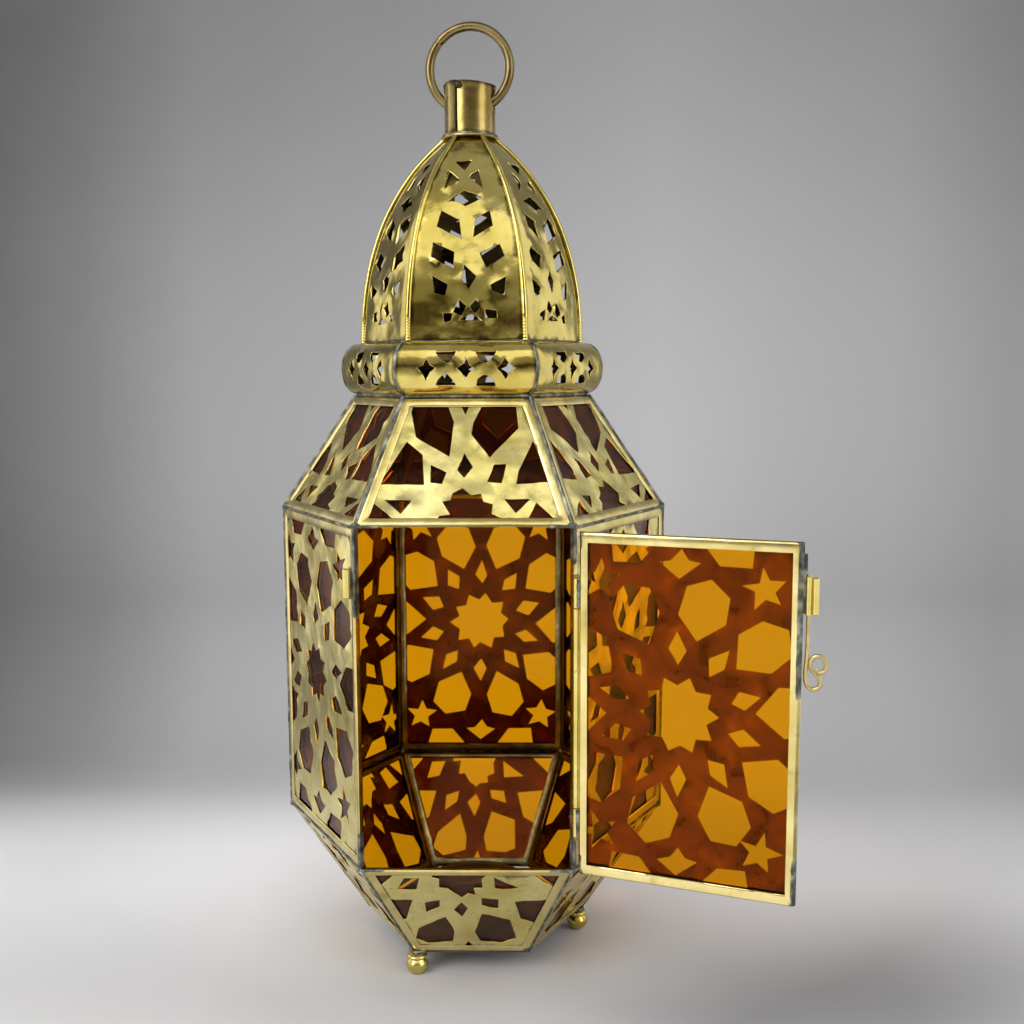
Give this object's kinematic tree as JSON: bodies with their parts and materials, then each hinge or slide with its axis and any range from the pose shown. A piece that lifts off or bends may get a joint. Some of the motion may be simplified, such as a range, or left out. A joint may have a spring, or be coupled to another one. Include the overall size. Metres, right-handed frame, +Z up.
{
  "type": "candle lantern",
  "caption": "Hexagonal pierced-brass and amber-glass candle lantern with a bullet dome, carrying ring, hinged side door and small feet.",
  "frame": {"origin": "centre of the base plate's underside, on the lantern's vertical axis", "axes": "+Z up, the door side faces -Y, +X to the right of a person facing the door side"},
  "size_m": [0.191, 0.1602, 0.3568],
  "materials": {
    "bright_brass": "hand-pierced sheet, polished with light tarnish",
    "aged_brass": "darkened brass wire and sheet",
    "soldered_brass": "folded U-channel with grey solder at the joints",
    "amber_glass": "clear amber float glass"
  },
  "bodies": {
    "lantern": {"neck_tube": "aged_brass", "dome_petal_1": "bright_brass", "dome_petal_2": "bright_brass", "dome_petal_3": "bright_brass", "dome_petal_4": "bright_brass", "dome_petal_5": "bright_brass", "dome_petal_6": "bright_brass", "dome_ribs": "bright_brass", "collar_band": "bright_brass", "shoulder_frame": "soldered_brass", "shoulder_glass_1": "amber_glass", "shoulder_fretwork_1": "bright_brass", "shoulder_glass_2": "amber_glass", "shoulder_fretwork_2": "bright_brass", "shoulder_glass_3": "amber_glass", "shoulder_fretwork_3": "bright_brass", "shoulder_glass_4": "amber_glass", "shoulder_fretwork_4": "bright_brass", "shoulder_glass_5": "amber_glass", "shoulder_fretwork_5": "bright_brass", "shoulder_glass_6": "amber_glass", "shoulder_fretwork_6": "bright_brass", "body_frame": "soldered_brass", "body_glass_2": "amber_glass", "body_fretwork_2": "bright_brass", "body_glass_3": "amber_glass", "body_fretwork_3": "bright_brass", "body_glass_4": "amber_glass", "body_fretwork_4": "bright_brass", "body_glass_5": "amber_glass", "body_fretwork_5": "bright_brass", "body_glass_6": "amber_glass", "body_fretwork_6": "bright_brass", "hinge_pin": "aged_brass", "latch_keeper": "bright_brass", "lower_frame": "soldered_brass", "lower_glass_1": "amber_glass", "lower_fretwork_1": "bright_brass", "lower_glass_2": "amber_glass", "lower_fretwork_2": "bright_brass", "lower_glass_3": "amber_glass", "lower_fretwork_3": "bright_brass", "lower_glass_4": "amber_glass", "lower_fretwork_4": "bright_brass", "lower_glass_5": "amber_glass", "lower_fretwork_5": "bright_brass", "lower_glass_6": "amber_glass", "lower_fretwork_6": "bright_brass", "base_plate": "aged_brass", "foot_1": "bright_brass", "foot_2": "bright_brass", "foot_3": "bright_brass", "candle_cup": "aged_brass"},
    "door": {"door_frame": "soldered_brass", "door_glass": "amber_glass", "door_fretwork": "bright_brass", "latch_barrel": "bright_brass"},
    "ring": {"hang_ring": "aged_brass"},
    "hook": {"latch_hook": "bright_brass"}
  },
  "joints": [
    {"name": "door_hinge", "type": "hinge", "parent": "lantern", "child": "door", "pos_m": [0.03825, -0.06625, 0.105], "axis": [0, 0, 1], "range_deg": [-160, 68]},
    {"name": "ring_swing", "type": "hinge", "parent": "lantern", "child": "ring", "pos_m": [0, 0, 0.3204], "axis": [0.9877, -0.1564, 0], "range_deg": [-125, 125]},
    {"name": "latch_turn", "type": "hinge", "parent": "door", "child": "hook", "pos_m": [0.10996, -0.09262, 0.148], "axis": [0, 0, 1], "range_deg": [-55, 85]}
  ]
}
